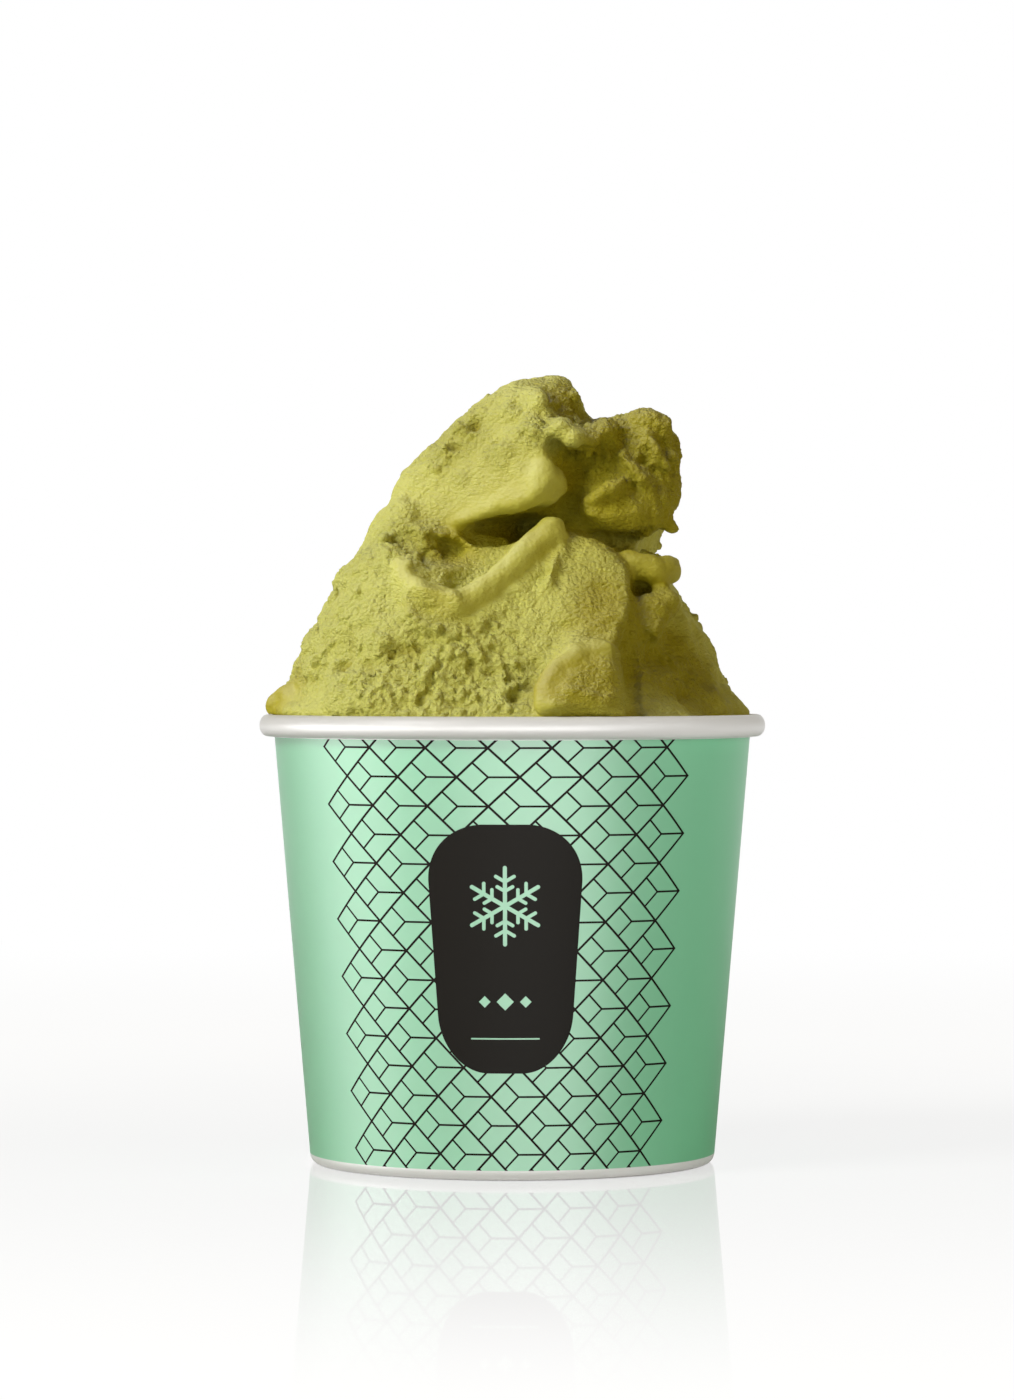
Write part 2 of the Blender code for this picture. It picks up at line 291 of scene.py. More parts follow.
# Cup wall
# A blank of white coated paperboard, printed mint and dark on its outside, is wrapped into a cone and
# glued where it overlaps itself. Its top edge is curled outwards and its foot folded in round the base.
RIM_RADIUS = cad_high.x
CUP_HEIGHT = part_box("cup_wall")[1].z
FOOT_RADIUS = 37.83 * MM
WALL_FLARE = 0.0851
BOARD = 0.45 * MM
GAP = 0.3 * MM
ROLL_HEIGHT = 4.1 * MM
ROLL_SWEEP = math.radians(302)
FOOT_ROUND_WIDTH = 1.35 * MM
FOOT_ROUND_HEIGHT = 2.2 * MM
HEM_HEIGHT = 6.3 * MM
WALL_SEGMENTS = 216
SEAM_ANGLE = 112.0
SEAM_TAPER = 22.0
SEAM_STEP = 0.35 * MM
SEAM_BEFORE = 0.12
SEAM_AFTER = 0.01
CURL_STEPS = 36
CURL_INSIDE_STEPS = 24
WALL_STEPS = 30
FOOT_STEPS = 8
SHARP_EDGE = math.radians(35)


def arc(centre, width, height, start, end, steps):
    """Points on an upright ellipse's arc, angles in radians from +radius."""
    angles = [start + (end - start) * i / steps for i in range(steps + 1)]
    return [(centre[0] + width * math.cos(a), centre[1] + height * math.sin(a)) for a in angles]


def wall_outside(z):
    """Radius of the wall's outer face at a height."""
    return FOOT_RADIUS + WALL_FLARE * z


def straight(start, end, steps):
    """Points from start up to, and without, end."""
    return [tuple(a + (b - a) * i / steps for a, b in zip(start, end)) for i in range(steps)]


def seam_lift(degrees):
    """How far the outer layer stands out where the board overlaps: a step, then a slow return."""
    along = (degrees - SEAM_ANGLE) % 360
    return SEAM_STEP * max(0.0, 1 - along / SEAM_TAPER) ** 1.5


roll_level = CUP_HEIGHT - ROLL_HEIGHT / 2
roll_inner = wall_outside(roll_level) - BOARD
roll_centre = ((RIM_RADIUS + roll_inner) / 2, roll_level)
roll_width = (RIM_RADIUS - roll_inner) / 2
roll_end = math.pi - ROLL_SWEEP
hem_radius = wall_outside(0) - 2 * BOARD - 2 * GAP
hem_lean = WALL_FLARE * HEM_HEIGHT
foot_centre = (FOOT_RADIUS - FOOT_ROUND_WIDTH, FOOT_ROUND_HEIGHT)
foot_width = FOOT_ROUND_WIDTH + WALL_FLARE * FOOT_ROUND_HEIGHT
curl = arc(roll_centre, roll_width, ROLL_HEIGHT / 2, math.pi, roll_end, CURL_STEPS)
curl_inside = arc(
    roll_centre, roll_width - BOARD, ROLL_HEIGHT / 2 - BOARD, roll_end, math.pi, CURL_INSIDE_STEPS
)
face_top = (wall_outside(roll_level), roll_level)
face_foot = (wall_outside(FOOT_ROUND_HEIGHT), FOOT_ROUND_HEIGHT)
outer_face = straight(face_top, face_foot, WALL_STEPS)
foot = arc(foot_centre, foot_width, FOOT_ROUND_HEIGHT, 0, -math.pi / 2, FOOT_STEPS)
hem = [
    (hem_radius - BOARD, 0),
    (hem_radius - BOARD + hem_lean, HEM_HEIGHT),
    (hem_radius + hem_lean, HEM_HEIGHT),
    (hem_radius, BOARD),
    (wall_outside(BOARD) - BOARD, BOARD),
]
wall_section = curl + curl_inside[:-1] + outer_face + foot + hem
first_lifted = len(curl) + len(curl_inside) - 1
lifted = range(0, first_lifted + len(outer_face) + len(foot))
columns = [360 * i / WALL_SEGMENTS for i in range(WALL_SEGMENTS)]
columns += [SEAM_ANGLE - SEAM_BEFORE, SEAM_ANGLE + SEAM_AFTER]
columns.sort()
wall = bmesh.new()
rings = []
for degrees in columns:
    a = math.radians(degrees)
    ring = []
    for i, (radius, z) in enumerate(wall_section):
        if i in lifted and z > GAP:
            radius += seam_lift(degrees) * min(1.0, radius / RIM_RADIUS if i < first_lifted else 1.0)
        radius = min(radius, RIM_RADIUS)
        ring.append(wall.verts.new((radius * math.sin(a), -radius * math.cos(a), z)))
    rings.append(ring)
for here, there in zip(rings, rings[1:] + rings[:1]):
    for i in range(len(wall_section)):
        j = (i + 1) % len(wall_section)
        wall.faces.new((here[i], there[i], there[j], here[j]))
bmesh.ops.recalc_face_normals(wall, faces=wall.faces)
wall_mesh = bpy.data.meshes.new("paper_wall")
wall.to_mesh(wall_mesh)
wall.free()
wall_mesh.shade_smooth()
wall_mesh.set_sharp_from_angle(angle=SHARP_EDGE)


def new_group(name, inputs, outputs):
    """A shader node group: its tree, its inputs and its outputs, by name."""
    group = bpy.data.node_groups.new(name, "ShaderNodeTree")
    for socket, value in inputs.items():
        kind = "NodeSocketFloat" if isinstance(value, float) else "NodeSocketVector"
        made = group.interface.new_socket(socket, in_out="INPUT", socket_type=kind)
        made.default_value = value
    for socket in outputs:
        group.interface.new_socket(socket, in_out="OUTPUT", socket_type="NodeSocketFloat")
    entry = group.nodes.new("NodeGroupInput")
    leave = group.nodes.new("NodeGroupOutput")
    return group, entry.outputs, leave.inputs


def place_group(tree, group, **values):
    """A group in a material's tree, with its inputs set or linked. Gives its outputs."""
    node = tree.nodes.new("ShaderNodeGroup")
    node.node_tree = group
    for name, value in values.items():
        connect(tree, value, node.inputs[name])
    return node.outputs


INK_EDGE = 0.05


def inked(calc, distance, half_width):
    """1 where a distance is under half a line's width, with a soft printed edge."""
    return calc("MULTIPLY_ADD", distance, -1 / INK_EDGE, half_width / INK_EDGE + 0.5, clamp=True)


# Where a point lies on the print: degrees round the cup from the middle of its nearer face, as the
# design is printed twice, and millimetres up from the table and out from the axis.
print_place, given, wanted = new_group(
    "print_place", {"Position": (0.0, 0.0, 0.0)}, ["Angle", "Height", "Radius"]
)
calc = calculator(print_place)
apart = print_place.nodes.new("ShaderNodeSeparateXYZ")
print_place.links.new(given["Position"], apart.inputs[0])
x, y, z = apart.outputs
turn = calc("DEGREES", calc("ARCTAN2", x, calc("MULTIPLY", y, -1.0)))
print_place.links.new(calc("WRAP", turn, 90.0, -90.0), wanted["Angle"])
print_place.links.new(calc("MULTIPLY", z, 1 / MM), wanted["Height"])
flat_radius = calc("SQRT", calc("ADD", calc("MULTIPLY", x, x), calc("MULTIPLY", y, y)))
print_place.links.new(calc("MULTIPLY", flat_radius, 1 / MM), wanted["Radius"])

# Lattice of diamonds, each with a small kite at its left point and a bar to its right point.
DIAMOND_HEIGHT = 10.5
DIAMOND_SPACING = 7.45
LATTICE_TOP = 78.35
LATTICE_MIDDLE = -1.95
DIAMOND_ANGLE_LOW = 14.29
DIAMOND_ANGLE_RISE = 0.0081
LATTICE_REACH = 3.0
LATTICE_LINE = 0.21
INNER_LINE = 0.18
PAST_MIDDLE = 0.52

lattice, given, wanted = new_group("diamond_lattice", {"Angle": 0.0, "Height": 0.0}, ["Ink"])
calc = calculator(lattice)
pitch = calc("MULTIPLY_ADD", given["Height"], DIAMOND_ANGLE_RISE, DIAMOND_ANGLE_LOW)
across = calc("DIVIDE", calc("SUBTRACT", given["Angle"], LATTICE_MIDDLE), pitch)
across = calc("ADD", across, 0.25)  # a quarter of a diamond on, so that a corner lies in the middle
up = calc("DIVIDE", calc("SUBTRACT", given["Height"], LATTICE_TOP), DIAMOND_HEIGHT)
rising = calc("FRACT", calc("SUBTRACT", across, up))
falling = calc("FRACT", calc("ADD", across, up))
off_rising = calc("ABSOLUTE", calc("SUBTRACT", rising, 0.5))
off_falling = calc("ABSOLUTE", calc("SUBTRACT", falling, 0.5))
nearest_side = calc("SUBTRACT", 0.5, calc("MAXIMUM", off_rising, off_falling))
sides = inked(calc, calc("MULTIPLY", nearest_side, DIAMOND_SPACING), LATTICE_LINE)
kite_a = inked(calc, calc("MULTIPLY", off_rising, DIAMOND_SPACING), INNER_LINE)
kite_a = calc("MULTIPLY", kite_a, calc("LESS_THAN", falling, PAST_MIDDLE))
kite_b = inked(calc, calc("MULTIPLY", off_falling, DIAMOND_SPACING), INNER_LINE)
kite_b = calc("MULTIPLY", kite_b, calc("LESS_THAN", rising, PAST_MIDDLE))
level = calc("ABSOLUTE", calc("SUBTRACT", rising, falling))
bar = inked(calc, calc("MULTIPLY", level, DIAMOND_HEIGHT / 2), INNER_LINE)
bar = calc("MULTIPLY", bar, calc("GREATER_THAN", calc("ADD", rising, falling), 1.0))
lines = calc("MAXIMUM", calc("MAXIMUM", sides, bar), calc("MAXIMUM", kite_a, kite_b))
edge = calc("ABSOLUTE", calc("SUBTRACT", up, calc("ROUND", up)))
from_middle = calc("ABSOLUTE", calc("SUBTRACT", across, edge))
inside = calc("LESS_THAN", from_middle, LATTICE_REACH + LATTICE_LINE / DIAMOND_SPACING)
lattice.links.new(calc("MULTIPLY", lines, inside), wanted["Ink"])

# Label: a dark plaque with round corners, which holds a snow crystal, three diamonds and a rule.
LABEL_MIDDLE = -1.8
LABEL_LEVEL = 42.1
LABEL_HALF_HEIGHT = 22.5
LABEL_HALF_WIDTH = 14.1
LABEL_CORNER = 10.5
LABEL_WIDE_LEVEL = 53.6
LABEL_TAPER = 0.0051
CRYSTAL_LEVEL = 49.9
CRYSTAL_ARM = 6.9
CRYSTAL_LINE = 0.37
SPOKE_APART = math.radians(60)
BRANCH_LINE = 0.3145
BRANCHES = ((2.7, 1.6), (4.4, 1.9))
DIAMONDS_LEVEL = 32.6
DIAMOND_STEP = 3.7
DIAMOND_HALF = 1.55
DIAMOND_SHRINK = 0.5
RULE_LEVEL = 25.9
RULE_HALF_WIDTH = 6.2
RULE_LINE = 0.13

label, given, wanted = new_group(
    "label", {"Angle": 0.0, "Height": 0.0, "Radius": 0.0}, ["Plaque", "Emblem"]
)
calc = calculator(label)
turn = calc("SUBTRACT", given["Angle"], LABEL_MIDDLE)
x = calc("MULTIPLY", calc("MULTIPLY", turn, math.radians(1)), given["Radius"])
narrowing = calc("MULTIPLY_ADD", given["Height"], LABEL_TAPER, 1 - LABEL_WIDE_LEVEL * LABEL_TAPER)
past_x = calc("ABSOLUTE", calc("DIVIDE", x, narrowing))
past_x = calc("SUBTRACT", past_x, LABEL_HALF_WIDTH - LABEL_CORNER)
past_y = calc("ABSOLUTE", calc("SUBTRACT", given["Height"], LABEL_LEVEL))
past_y = calc("SUBTRACT", past_y, LABEL_HALF_HEIGHT - LABEL_CORNER)


def length_of(calc, a, b):
    """Distance with sides a and b."""
    return calc("SQRT", calc("ADD", calc("MULTIPLY", a, a), calc("MULTIPLY", b, b)))


corner = length_of(calc, calc("MAXIMUM", past_x, 0.0), calc("MAXIMUM", past_y, 0.0))
label.links.new(inked(calc, corner, LABEL_CORNER), wanted["Plaque"])
y = calc("SUBTRACT", given["Height"], CRYSTAL_LEVEL)
spoke = calc("ABSOLUTE", calc("WRAP", calc("ARCTAN2", x, y), SPOKE_APART / 2, -SPOKE_APART / 2))
reach = length_of(calc, x, y)
along = calc("MULTIPLY", reach, calc("COSINE", spoke))
aside = calc("MULTIPLY", reach, calc("SINE", spoke))
past_arm = calc("MAXIMUM", calc("SUBTRACT", along, CRYSTAL_ARM), 0.0)
emblem = inked(calc, length_of(calc, past_arm, aside), CRYSTAL_LINE)
cosine, sine = math.cos(SPOKE_APART), math.sin(SPOKE_APART)
for start, length in BRANCHES:
    ahead = calc("SUBTRACT", along, start)
    out = calc("ADD", calc("MULTIPLY", ahead, cosine), calc("MULTIPLY", aside, sine))
    off = calc("SUBTRACT", calc("MULTIPLY", ahead, sine), calc("MULTIPLY", aside, cosine))
    past_tip = calc("MAXIMUM", calc("SUBTRACT", out, length), 0.0)
    emblem = calc("MAXIMUM", emblem, inked(calc, length_of(calc, past_tip, off), BRANCH_LINE))
step = calc("ROUND", calc("DIVIDE", x, DIAMOND_STEP))
step = calc("MINIMUM", calc("MAXIMUM", step, -1.0), 1.0)
beside = calc("ABSOLUTE", calc("SUBTRACT", x, calc("MULTIPLY", step, DIAMOND_STEP)))
above = calc("ABSOLUTE", calc("SUBTRACT", given["Height"], DIAMONDS_LEVEL))
size = calc("MULTIPLY_ADD", calc("ABSOLUTE", step), -DIAMOND_SHRINK, DIAMOND_HALF)
emblem = calc("MAXIMUM", emblem, inked(calc, calc("SUBTRACT", calc("ADD", beside, above), size), 0.0))
rule = inked(calc, calc("ABSOLUTE", calc("SUBTRACT", given["Height"], RULE_LEVEL)), RULE_LINE)
rule = calc("MULTIPLY", rule, inked(calc, calc("ABSOLUTE", x), RULE_HALF_WIDTH))
label.links.new(calc("MAXIMUM", emblem, rule), wanted["Emblem"])

# Coated board: fine fibres under the coating, and a slow unevenness of tone and gloss.
FIBRE_SCALE = 1400
MOTTLE_SCALE = 90

board_grain, given, wanted = new_group(
    "board_grain", {"Position": (0.0, 0.0, 0.0), "Fibre": 1.0}, ["Relief", "Tone"]
)
calc = calculator(board_grain)


def add_noise(tree, position, scale, detail, roughness=0.5):
    """A Noise Texture at a scale in cycles a metre. Gives its value output."""
    node = tree.nodes.new("ShaderNodeTexNoise")
    node.inputs["Scale"].default_value = scale
    node.inputs["Detail"].default_value = detail
    node.inputs["Roughness"].default_value = roughness
    tree.links.new(position, node.inputs["Vector"])
    return node.outputs[0]


fibres = add_noise(board_grain, given["Position"], FIBRE_SCALE, 4, 0.6)
mottle = add_noise(board_grain, given["Position"], MOTTLE_SCALE, 3)
board_grain.links.new(calc("MULTIPLY", fibres, given["Fibre"]), wanted["Relief"])
board_grain.links.new(mottle, wanted["Tone"])


def add_bump(tree, height, strength, distance):
    """A Bump node over a height. Gives its normal."""
    node = tree.nodes.new("ShaderNodeBump")
    node.inputs["Strength"].default_value = strength
    node.inputs["Distance"].default_value = distance
    tree.links.new(height, node.inputs["Height"])
    return node.outputs["Normal"]


MINT = (0.18, 0.585, 0.31, 1)
MINT_DEEP = (0.165, 0.565, 0.295, 1)
DARK_INK = (0.007, 0.005, 0.002, 1)
BOARD_WHITE = (0.87, 0.86, 0.85, 1)
BOARD_GREY = (0.8, 0.79, 0.77, 1)
PRINT_LOW = 1.9
PRINT_HIGH = 79.75
PRINT_EDGE = 8.0
PRINT_SKIN = 0.25
BOARD_ROUGHNESS = 0.42
INK_ROUGHNESS_RANGE = 0.12
VARNISH_ROUGHNESS = 0.44
VARNISH_IOR = 1.6
BOARD_SPECULAR = 0.06
BOARD_RELIEF = 0.05 * MM
BOARD_BUMP = 0.12

wall_look, tree, paint = new_material("printed_board")
calc = calculator(tree)
where = tree.nodes.new("ShaderNodeTexCoord").outputs["Object"]
angle, height, radius = place_group(tree, print_place, Position=where)
ink = place_group(tree, lattice, Angle=angle, Height=height)["Ink"]
plaque, emblem = place_group(tree, label, Angle=angle, Height=height, Radius=radius)
relief, tone = place_group(tree, board_grain, Position=where, Fibre=1.0)
mint = mix_colour(tree, tone, MINT, MINT_DEEP)
dark = calc("MAXIMUM", ink, plaque)
dark = calc("MULTIPLY", dark, calc("SUBTRACT", 1.0, calc("MULTIPLY", plaque, emblem)))
printed = mix_colour(tree, dark, mint, DARK_INK)
above_foot = calc("MULTIPLY_ADD", calc("SUBTRACT", height, PRINT_LOW), PRINT_EDGE, 0.5, clamp=True)
below_roll = calc("LESS_THAN", height, PRINT_HIGH)
skin = calc("MULTIPLY_ADD", height, WALL_FLARE, FOOT_RADIUS / MM - PRINT_SKIN)
outside = calc("GREATER_THAN", radius, skin)
on_print = calc("MULTIPLY", calc("MULTIPLY", above_foot, below_roll), outside)
tree.links.new(mix_colour(tree, on_print, BOARD_WHITE, printed), paint.inputs["Base Color"])
roughness = calc("MULTIPLY_ADD", tone, INK_ROUGHNESS_RANGE, BOARD_ROUGHNESS)
tree.links.new(roughness, paint.inputs["Roughness"])
varnish = calc("SUBTRACT", 1.0, calc("MULTIPLY", on_print, dark))
tree.links.new(varnish, paint.inputs["Coat Weight"])
paint.inputs["Coat Roughness"].default_value = VARNISH_ROUGHNESS
paint.inputs["Coat IOR"].default_value = VARNISH_IOR
paint.inputs["Specular IOR Level"].default_value = BOARD_SPECULAR
tree.links.new(add_bump(tree, relief, BOARD_BUMP, BOARD_RELIEF), paint.inputs["Normal"])
paper_wall = add_object("paper_wall", wall_mesh, wall_look)
for group in ("board", "board_and_table", "gelato_and_board"):
    lit[group].objects.link(paper_wall)
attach(paper_wall, "root")
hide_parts("cup_wall")


# Base
# A disc of the same board, unprinted, with its edge turned down and sealed into the folded foot.
# It sits a few millimetres above the table, so the cup stands on its rim alone.
BASE_ROUGHNESS_RANGE = 0.15
BASE_BUMP = 0.2
BASE_RELIEF = 0.06 * MM

base_look, tree, paint = new_material("plain_board")
calc = calculator(tree)
where = tree.nodes.new("ShaderNodeTexCoord").outputs["Object"]
relief, tone = place_group(tree, board_grain, Position=where, Fibre=1.0)
tree.links.new(mix_colour(tree, tone, BOARD_WHITE, BOARD_GREY), paint.inputs["Base Color"])
roughness = calc("MULTIPLY_ADD", tone, BASE_ROUGHNESS_RANGE, BOARD_ROUGHNESS)
tree.links.new(roughness, paint.inputs["Roughness"])
tree.links.new(add_bump(tree, relief, BASE_BUMP, BASE_RELIEF), paint.inputs["Normal"])
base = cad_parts["cup_base"]
base.data.materials.clear()
base.data.materials.append(base_look)
for group in ("board", "board_and_table", "gelato_and_board"):
    lit[group].objects.link(base)


# Gelato
# Pistachio gelato, pressed into the cup and piled above it with a flat spatula. Where the spatula
# smeared it, it is smooth and damp; where it tore, it is dry and crumbly, with pits and small crumbs.
HEAP_CUT = 77.5
HEAP_FLOOR = 79.4
FILL_FLOOR = 7.85
ROUGH_VOXEL = 0.7 * MM
FINE_VOXEL = 0.42 * MM
BEAD_STEPS = 7
FACE_STEP = 0.6
SAME_PLACE = 0.001 * MM
# How square a lump is: 2 for a ball, and more towards a box.
BALL, LUMP, CRUMB, BOX = 2.0, 2.2, 2.3, 3.0
VIEW_COLUMN = IMAGE_WIDTH / 2 - SHIFT_RIGHT
VIEW_ROW = IMAGE_HEIGHT / 2 + SHIFT_UP


def seen(column, row, depth):
    """The point, in mm, that the photograph shows at that pixel if it lies at that Y."""
    scale = PIXEL / MM * (1 + depth * MM / CAMERA_DISTANCE)
    across = (column - VIEW_COLUMN) * scale
    return Vector((across, depth, CAMERA_HEIGHT / MM - (row - VIEW_ROW) * scale))


def lump_mesh(lumps, detail=3):
    """A mesh of closed lumps, in mm: each a ball pushed out towards a box, then turned and placed."""
    ball = bmesh.new()
    bmesh.ops.create_icosphere(ball, subdivisions=detail, radius=1.0)
    corners = numpy.array([vert.co[:] for vert in ball.verts])
    faces = numpy.array([[vert.index for vert in face.verts] for face in ball.faces])
    ball.free()
    points, triangles = [], []
    for i, (centre, radii, turn, squareness) in enumerate(lumps):
        spread = (numpy.abs(corners) ** squareness).sum(axis=1) ** (-1 / squareness)
        rotation = numpy.array(turn)
        sized = corners * spread[:, None] * numpy.array(radii)
        points.append((sized @ rotation.T + numpy.array(centre)) * MM)
        triangles.append(faces + i * len(corners))
    mesh = bpy.data.meshes.new("lumps")
    mesh.from_pydata(numpy.concatenate(points).tolist(), [], numpy.concatenate(triangles).tolist())
    return mesh


def turned(x, y, z):
    """The matrix of a turn by those degrees."""
    return Euler([math.radians(t) for t in (x, y, z)]).to_matrix()


def smooth_line(before, start, end, after, t):
    """A point between start and end on the Catmull-Rom curve through the four points."""
    return 0.5 * (
        2 * start
        + (end - before) * t
        + (2 * before - 5 * start + 4 * end - after) * t**2
        + (3 * start - before - 3 * end + after) * t**3
    )


def edge_beads(points):
    """Overlapping balls, as centres and radii in mm, along a smooth line through the points."""
    line = [seen(*point[:3]) for point in points]
    radii = [point[3] for point in points]
    last = len(line) - 1
    beads = []
    for i in range(last):
        for step in range(BEAD_STEPS):
            t = step / BEAD_STEPS
            at = smooth_line(line[max(i - 1, 0)], line[i], line[i + 1], line[min(i + 2, last)], t)
            beads.append((at, radii[i] + (radii[i + 1] - radii[i]) * t))
    beads.append((line[-1], radii[-1]))
    return beads


def keep_modifiers(made):
    """Makes the object's evaluated mesh its own."""
    evaluated = made.evaluated_get(bpy.context.evaluated_depsgraph_get())
    mesh = bpy.data.meshes.new_from_object(evaluated)
    made.modifiers.clear()
    made.data = mesh


def even_skin(made, voxel, rounds):
    """Joins what overlaps into one even skin, and softens it by that many rounds."""
    skin = made.modifiers.new("skin", "REMESH")
    skin.mode = "VOXEL"
    skin.voxel_size = voxel
    if rounds:
        soften = made.modifiers.new("soften", "SMOOTH")
        soften.factor = 0.5
        soften.iterations = rounds
    keep_modifiers(made)


def as_lumps(edges):
    """Round lumps for every bead of those edges."""
    beads = [bead for points in edges for bead in edge_beads(points)]
    return [(at, (radius,) * 3, turned(0, 0, 0), BALL) for at, radius in beads]


def inside_by(outline, column, row):
    """How far inside a closed outline a pixel lies, in pixels, and below 0 outside it."""
    nearest, inside = math.inf, False
    for (x0, y0), (x1, y1) in zip(outline, outline[1:] + outline[:1]):
        dx, dy = x1 - x0, y1 - y0
        t = min(1.0, max(0.0, ((column - x0) * dx + (row - y0) * dy) / (dx * dx + dy * dy)))
        nearest = min(nearest, math.hypot(column - x0 - t * dx, row - y0 - t * dy))
        if (y0 > row) != (y1 > row) and column < x0 + (row - y0) * dx / dy:
            inside = not inside
    return nearest if inside else -nearest


def face_depth(slope, column, row):
    """Depth of a flat face under a pixel, in mm."""
    middle_column, middle_row, depth, rightward, downward = slope
    return depth + rightward * (column - middle_column) + downward * (row - middle_row)


def face_lumps(outline, slope, half_width, half_depth):
    """Rounded boxes side by side that fill a flat face, sheared so that their fronts lie in it."""
    shear = Matrix(((1, 0, 0), (slope[3] * MM / PIXEL, 1, -slope[4] * MM / PIXEL), (0, 0, 1)))
    step = FACE_STEP * half_width * MM / PIXEL
    lumps = []
    columns = [point[0] for point in outline]
    rows = [point[1] for point in outline]
    for i in range(int((max(rows) - min(rows)) / step) + 1):
        for j in range(int((max(columns) - min(columns)) / step) + 2):
            column = min(columns) + (j + 0.5 * (i % 2)) * step
            row = min(rows) + i * step
            if inside_by(outline, column, row) >= half_width * MM / PIXEL:
                at = seen(column, row, face_depth(slope, column, row) + half_depth)
                lumps.append((at, (half_width, half_depth, half_width), shear, BOX))
    return lumps


def flush(points, slope):
    """Beads under a flat face's edge, each as deep as lets its front touch the face."""
    lean = math.hypot(1, slope[3] * MM / PIXEL, slope[4] * MM / PIXEL)
    return tuple(
        (column, row, face_depth(slope, column, row) + radius * lean - proud, radius)
        for column, row, proud, radius in points
    )


def combine(made, operation, other):
    """Cuts the other object from the first or joins it on, and deletes it."""
    step = made.modifiers.new(operation.lower(), "BOOLEAN")
    step.operation = operation
    step.object = other
    keep_modifiers(made)
    bpy.data.objects.remove(other)


# Flat faces that the spatula left: a middle pixel, its depth in mm, and how the depth changes for each
# pixel to the right and down. Then their outlines, as pixels of the photograph.
SLAB_SLOPE = (485, 465, -17.0, -0.10, -0.09)
SLAB_OUTLINE = (
    (541, 384), (520, 386), (488, 396), (467, 411), (447, 430), (420, 453), (400, 472), (390, 488),
    (388, 502), (379, 520), (396, 524), (420, 520), (440, 522), (459, 529), (486, 519), (507, 512),
    (528, 505), (542, 497), (549, 487), (550, 476), (549, 464), (548, 452), (548, 440), (549, 425),
    (549, 408), (548, 394),
)
FACET_SLOPE = (440, 603, -33.2, -0.03, 0.02)
FACET_OUTLINE = (
    (404, 570), (411, 577), (429, 583), (446, 587), (462, 590), (468, 603), (462, 617), (449, 625),
    (438, 618), (424, 607), (412, 593),
)
FOLD_SLOPE = (575, 675, -42.6, 0.065, -0.11)
FOLD_OUTLINE = (
    (536, 715), (541, 700), (548, 683), (557, 668), (571, 656), (590, 648), (618, 637), (620, 660),
    (619, 690), (617, 715),
)
BELLY_SLOPE = (610, 508, -18.4, 0.045, 0.0)
BELLY_OUTLINE = (
    (573, 514), (584, 503), (602, 498), (622, 499), (640, 503), (651, 513), (645, 526), (622, 532),
    (594, 528),
)
CLIFF_SLOPE = (595, 600, -28.6, 0.02, -0.12)
CLIFF_OUTLINE = (
    (572, 534), (588, 536), (602, 541), (616, 551), (627, 562), (632, 578), (632, 600), (627, 622),
    (621, 642), (606, 650), (580, 650), (566, 640), (556, 600), (560, 560),
)
# Each with the half width and half depth of the lumps that fill it.
FACES = (
    (CLIFF_OUTLINE, CLIFF_SLOPE, 1.0, 4.0),
    (SLAB_OUTLINE, SLAB_SLOPE, 1.5, 3.2),
    (FOLD_OUTLINE, FOLD_SLOPE, 1.4, 3.8),
    (BELLY_OUTLINE, BELLY_SLOPE, 2.4, 3.0),
)
FACET = (FACET_OUTLINE, FACET_SLOPE, 1.1, 2.6)

# Edges of the gelato, each as pixels of the photograph, a depth and a radius in mm. Those of a face say
# instead how far they stand out from it.
SLAB_LIP = flush(
    (
        (452, 523, 0.0, 0.9),
        (470, 515, 0.0, 1.5),
        (495, 505, 0.0, 2.3),
        (520, 499, 0.1, 2.6),
        (535, 491, 0.1, 2.9),
        (543, 480, 0.1, 2.9),
        (543, 469, 0.0, 2.4),
    ),
    SLAB_SLOPE,
)
SMILE_RIDGE = (
    (399, 561, -25.6, 0.8),
    (405, 573, -27.6, 1.0),
    (415, 582, -29.4, 1.2),
    (428, 590, -30.0, 1.4),
    (442, 597, -30.6, 2.0),
    (458, 604, -30.4, 2.6),
    (476, 595, -29.4, 2.5),
    (496, 580, -27.4, 2.4),
    (518, 560, -25.2, 2.5),
    (537, 543, -22.8, 2.8),
    (551, 532, -21.2, 3.0),
)
SHAVING_RADIUS = 7.0
SHAVING_LEFT = 1.4
SHAVING_START = 3
LOW_FOLD_EDGE = flush(
    (
        (544, 703, -0.6, 2.2),
        (549, 689, -0.4, 2.5),
        (558, 674, -0.2, 2.6),
        (572, 663, 0.0, 2.3),
        (588, 656, 0.0, 2.0),
        (603, 650, 0.0, 1.8),
    ),
    FOLD_SLOPE,
)
ROLL_END = (
    (669, 571, -14.4, 2.4),
    (659, 572, -16.6, 2.7),
    (644, 568, -18.0, 2.7),
    (627, 561, -18.4, 2.2),
)
SHARD = (
    (656, 516, -11.0, 1.9),
    (669, 526, -11.0, 1.3),
    (677, 529.5, -11.0, 0.75),
    (680, 529.8, -11.0, 0.5),
)
CAVITY_FLAP = (
    (446, 538, -15.0, 1.3),
    (466, 539, -13.5, 1.4),
    (488, 540, -12.5, 1.2),
    (506, 542, -12.0, 0.8),
)
FLAKE = (
    (557, 554, -24.8, 0.5),
    (554, 566, -26.6, 0.75),
    (549, 580, -27.8, 0.8),
    (545, 592, -28.2, 0.5),
)
LEFT_FOOT = ((279, 706, -9.0, 2.6), (290, 697, -10.5, 2.6), (298, 706, -14.0, 2.4))
PEAK_KNOB = ((541, 390, -4.0, 2.6), (556, 391, -4.0, 3.0), (566, 402, -4.0, 3.0))

